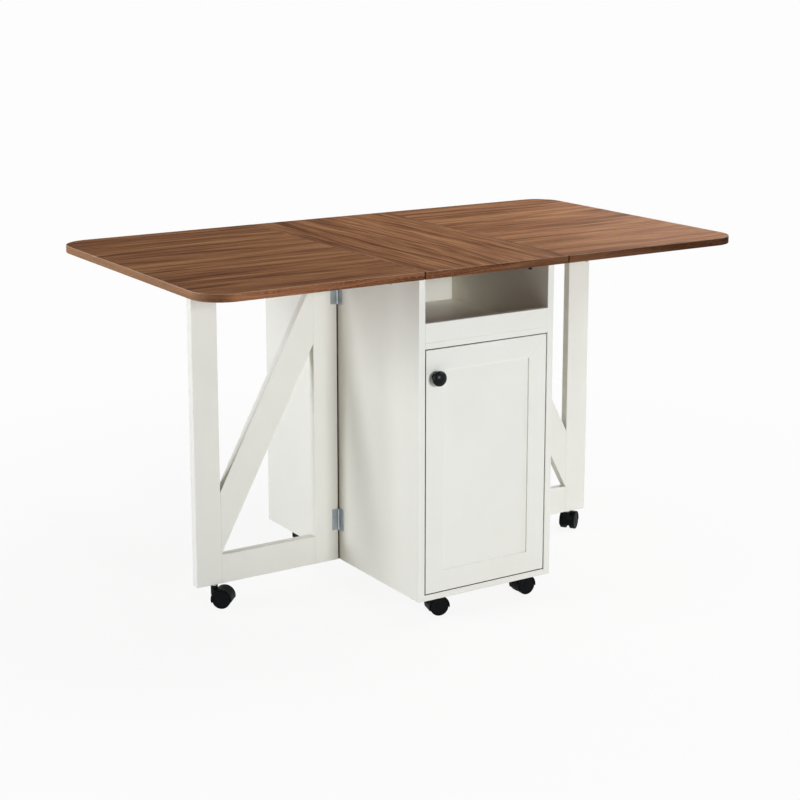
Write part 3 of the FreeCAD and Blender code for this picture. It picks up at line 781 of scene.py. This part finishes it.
# ---------------------------------------------------------------- casters
# Twin-wheel casters moulded in black nylon: a hood open at both sides, with a web between the
# wheels and a neck that turns on a steel stem, and two wheels pressed on one axle.
caster_width = 0.036
wheel_sides = 72
wheel_radius = 0.020
wheel_inner = 0.005
wheel_thickness = 0.013
wheel_cover = 0.0025
axle_bore = 0.00205
axle_bore_sides = 20
hood_radius = 0.0228
hood_inner_radius = 0.0211
hood_ease = 0.0014
hood_ease_steps = 3
hood_stem_side = 0.0120
hood_tail_side = 0.0170
web_half = 0.004
neck_sides = 40
neck_radius = 0.0075
neck_foot = 0.026
neck_top = 0.0464
neck_ease = 0.0008
stem_bore = 0.00405
stem_bore_depth = 0.0094
nylon = plain_finish("black_nylon", (0.0026, 0.0030, 0.0034), roughness=0.50, specular=0.07,
                     grain_size=0.0009, grain_depth=0.00004, mottle=0.12)

joint_places = {joint["name"]: Vector(joint["pos_m"]) for joint in frame["joints"]}
caster_names = ("front_left", "front_right", "rear_left", "rear_right", "left_gate", "right_gate")


def at_caster(name):
    """The matrix from a caster's own axes, stem along Z and wheels to +X, to its place."""
    stem = joint_places["swivel_" + name]
    wheels = joint_places["roll_" + name]
    heading = math.atan2(wheels.y - stem.y, wheels.x - stem.x)
    return Matrix.Translation((stem.x, stem.y, 0)) @ Matrix.Rotation(heading, 4, "Z")


trail = (joint_places["roll_front_left"].xy - joint_places["swivel_front_left"].xy).length
half = caster_width / 2
hood = rod("hood", (trail, -half, wheel_radius), (0, 1, 0), hood_radius, caster_width,
           wheel_sides)
edit(hood, "EDGE", lambda e: abs(e.verts[0].co.y - e.verts[1].co.y) < near)
bpy.ops.mesh.bevel(offset=hood_ease, segments=hood_ease_steps, affect="EDGES")
bpy.ops.mesh.select_all(action="SELECT")
slope = math.atan2(hood_tail_side - hood_stem_side, 2 * hood_radius)
bpy.ops.mesh.bisect(plane_co=(trail - hood_radius, 0, hood_stem_side),
                    plane_no=(-math.sin(slope), 0, math.cos(slope)),
                    use_fill=True, clear_inner=True)
finished(hood)
carve(hood, turned("neck", (0, 0, neck_foot), (0, 0, 1),
                   [(neck_radius, 0), (neck_radius, neck_top - neck_foot - neck_ease),
                    (neck_radius - neck_ease, neck_top - neck_foot)], neck_sides), "UNION")
for sign in (-1, 1):
    carve(hood, rod("wheel_space", (trail, sign * web_half, wheel_radius), (0, sign, 0),
                    hood_inner_radius, half, wheel_sides))
carve(hood, rod("axle_bore", (trail, -half, wheel_radius), (0, 1, 0), axle_bore, caster_width,
                axle_bore_sides))
carve(hood, rod("stem_bore", (0, 0, neck_top - stem_bore_depth), (0, 0, 1), stem_bore,
                stem_bore_depth + cutter_spare, bore_sides))
finished(hood)
hood.data.materials.append(nylon)

# The wheel is turned from its blind axle bore out over the tread to the face and hub, as
# radius and height.
bore_depth = wheel_thickness - wheel_cover
rise = -bore_depth
wheel_profile = [(axle_bore, 0), (axle_bore, rise), (0.0068, rise), (0.0072, rise + 0.0006),
                 (0.0180, rise + 0.0006), (0.0184, rise), (0.0190, rise), (0.0197, rise + 0.0005),
                 (wheel_radius, rise + 0.0014), (wheel_radius, wheel_cover - 0.0016),
                 (0.0196, wheel_cover - 0.0006), (0.0188, wheel_cover - 0.0001),
                 (0.0182, wheel_cover), (0.0170, wheel_cover), (0.0167, wheel_cover - 0.0007),
                 (0.0072, wheel_cover - 0.0007), (0.0068, wheel_cover - 0.0001),
                 (0.0055, wheel_cover), (0.0030, wheel_cover)]
bottom_y = wheel_inner + bore_depth
wheel = turned("wheel", (trail, bottom_y, wheel_radius), (0, 1, 0), wheel_profile, wheel_sides)
wheel.data.materials.append(nylon)

for name in caster_names:
    spot = at_caster(name)
    cover = copies("caster_cover_" + name, hood, [spot])
    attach(cover, "caster_" + name)
    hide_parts("caster_hood_" + name)
    pair = copies("wheel_pair_" + name, wheel, [spot, spot @ Matrix.Diagonal((1, -1, 1, 1))])
    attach(pair, "wheels_" + name)
    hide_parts("caster_wheels_" + name)
    dress("caster_axle_" + name, zinc)
for model in (hood, wheel):
    bpy.data.objects.remove(model)

# ---------------------------------------------------------------- small plastic fittings
# Dark moulded brackets in the cabinet's upper corners, the white case of the door's magnetic
# catch with two steel pole plates, and round-nosed grey studs under the leaves.
bracket_plastic = plain_finish("dark_bracket", (0.016, 0.014, 0.012), roughness=0.45, specular=0.3,
                               grain_size=0.001, grain_depth=0.00003, mottle=0.1)
catch_plastic = plain_finish("white_catch", (0.70, 0.70, 0.67), roughness=0.40, specular=0.4,
                             grain_size=0.001, grain_depth=0.00003, mottle=0.03)
stud_rubber = plain_finish("grey_stud", (0.40, 0.40, 0.38), roughness=0.55, specular=0.3,
                           grain_size=0.001, grain_depth=0.00003, mottle=0.06)
dress("corner_brackets", bracket_plastic)
dress("catch_box", catch_plastic)

pole_length = 0.030
pole_thickness = 0.0012
pole_spacing = 0.0055
pole_proud = 0.0002
pole_depth = 0.004
pole_ease = 0.0001
pole_ease_steps = 2
strike_screw_half_pitch = 0.013
low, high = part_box("catch_box")
middle = (low + high) / 2
for number, step in enumerate((-1, 1)):
    z = middle.z + step * pole_spacing / 2
    pole = block("catch_pole_" + str(number), (middle.x - pole_length / 2, low.y - pole_proud,
                                               z - pole_thickness / 2),
                 (middle.x + pole_length / 2, low.y + pole_depth, z + pole_thickness / 2))
    ease(pole, pole_ease, pole_ease_steps)
    finished(pole)
    pole.data.materials.append(zinc)
    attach(pole, "cabinet")
low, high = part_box("strike_plate")
middle = (low + high) / 2
screws("strike_screws", "door", [(middle.x + step * strike_screw_half_pitch, high.y, middle.z)
                                 for step in (-1, 1)], (0, 1, 0))

stud_sides = 36
stud_profile = [(1.0, 0), (1.0, 0.60), (0.97, 0.74), (0.86, 0.87), (0.66, 0.96), (0.35, 1.0)]
for side in ("left", "right"):
    low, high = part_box("leaf_stud_" + side)
    middle = (low + high) / 2
    radius = (high.y - low.y) / 2
    stud = turned("stud_" + side, (middle.x, middle.y, high.z), (0, 0, -1),
                  [(across * radius, along * (high.z - low.z)) for across, along in stud_profile],
                  stud_sides)
    stud.data.materials.append(stud_rubber)
    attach(stud, side + "_leaf")
    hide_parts("leaf_stud_" + side)
bpy.data.objects.remove(screw)

# ---------------------------------------------------------------- room
# A pale floor in a white room whose own light is very weak. A small lamp stands in front, a
# little above the table; a broad one at the left, one high over the right leaf and one behind
# at the right light the rest.
floor_size = 60.0
floor_drop = 0.0002
floor_colour = (0.80, 0.75, 0.68, 1)
floor_shadow_share = 0.08
floor_shadow_start = 0.6
floor_shadow_reach = 1.8
white_level = 0.982
room_colour = (1.0, 0.95, 0.86, 1)
room_level = 0.03
lamp_colour = (0.952, 1.010, 1.110)


def seen_directly(tree):
    """1 for rays that show the background itself: camera, glossy and transmission rays."""
    path = node(tree, "LightPath")
    seen = calc(tree, "MAXIMUM", path.outputs["Is Camera Ray"], path.outputs["Is Glossy Ray"])
    return calc(tree, "MAXIMUM", seen, path.outputs["Is Transmission Ray"])


bpy.ops.object.select_all(action="DESELECT")
bpy.ops.mesh.primitive_plane_add(size=floor_size, location=(0, 0, cad_low.z - floor_drop))
floor = bpy.context.object
floor.name = "floor"
bpy.ops.object.transform_apply(location=True, rotation=True, scale=True)
floor_finish, tree, shader = new_material("pale_floor")
shader.inputs["Base Color"].default_value = floor_colour
shader.inputs["Roughness"].default_value = 0.9
shader.inputs["Specular IOR Level"].default_value = 0.1
glow = node(tree, "Emission", {"Color": (1, 1, 1, 1), "Strength": white_level})
away = node(tree, "VectorMath", {0: node(tree, "TexCoord").outputs["Object"]}, operation="LENGTH")
fade = ramp(tree, away.outputs["Value"], floor_shadow_start, floor_shadow_reach,
            1 - floor_shadow_share, 1.0)
share = calc(tree, "MULTIPLY", seen_directly(tree), fade)
mixed = node(tree, "MixShader", {0: share, 1: shader.outputs[0], 2: glow.outputs[0]})
tree.links.new(mixed.outputs[0], tree.nodes["Material Output"].inputs["Surface"])
floor.data.materials.append(floor_finish)

world = bpy.context.scene.world or bpy.data.worlds.new("room")
bpy.context.scene.world = world
world.use_nodes = True
tree = world.node_tree
seen = seen_directly(tree)
background = tree.nodes["Background"]
tree.links.new(blend_colour(tree, seen, room_colour, (1, 1, 1, 1)), background.inputs["Color"])
level = calc(tree, "MULTIPLY_ADD", seen, white_level - room_level, room_level)
tree.links.new(level, background.inputs["Strength"])


def soft_lamp(name, place, target, size, power):
    """A square soft lamp that points at a place."""
    lamp = bpy.data.lights.new(name, "AREA")
    lamp.shape = "SQUARE"
    lamp.size = size
    lamp.energy = power
    lamp.color = lamp_colour
    holder = bpy.data.objects.new(name, lamp)
    bpy.context.scene.collection.objects.link(holder)
    holder.location = place
    holder.rotation_euler = (Vector(target) - Vector(place)).to_track_quat("-Z", "Y").to_euler()


soft_lamp("front_lamp", (-0.06, -4.7, 1.45), (0, 0, 0.45), size=0.8, power=123)
soft_lamp("left_lamp", (-4.1, 1.2, 1.4), (0, 0, 0.4), size=2.3, power=141)
soft_lamp("high_lamp", (1.6, -0.36, 2.3), (0.5, 0, 0.74), size=1.2, power=50)
soft_lamp("rear_lamp", (4.1, 3.2, 1.3), (0, 0, 0.4), size=1.6, power=62)

# ---------------------------------------------------------------- camera
# Standing at the front left, a little above the table, and looking slightly down through a long
# lens. The lens is shifted downwards, so that more of the floor shows below the table.
eye = Vector((-2.0405, -3.2180, 1.3648))
turn_right = math.radians(32.29)
tilt_down = math.radians(11.33)
camera_data = bpy.data.cameras.new("camera")
camera = bpy.data.objects.new("camera", camera_data)
bpy.context.scene.collection.objects.link(camera)
camera.location = eye
camera.rotation_euler = (math.pi / 2 - tilt_down, 0, -turn_right)
camera_data.sensor_width = 36.0
camera_data.lens = 80.10
camera_data.shift_y = -0.12
camera_data.clip_end = 200
bpy.context.scene.camera = camera
bpy.context.scene.view_settings.view_transform = "Standard"
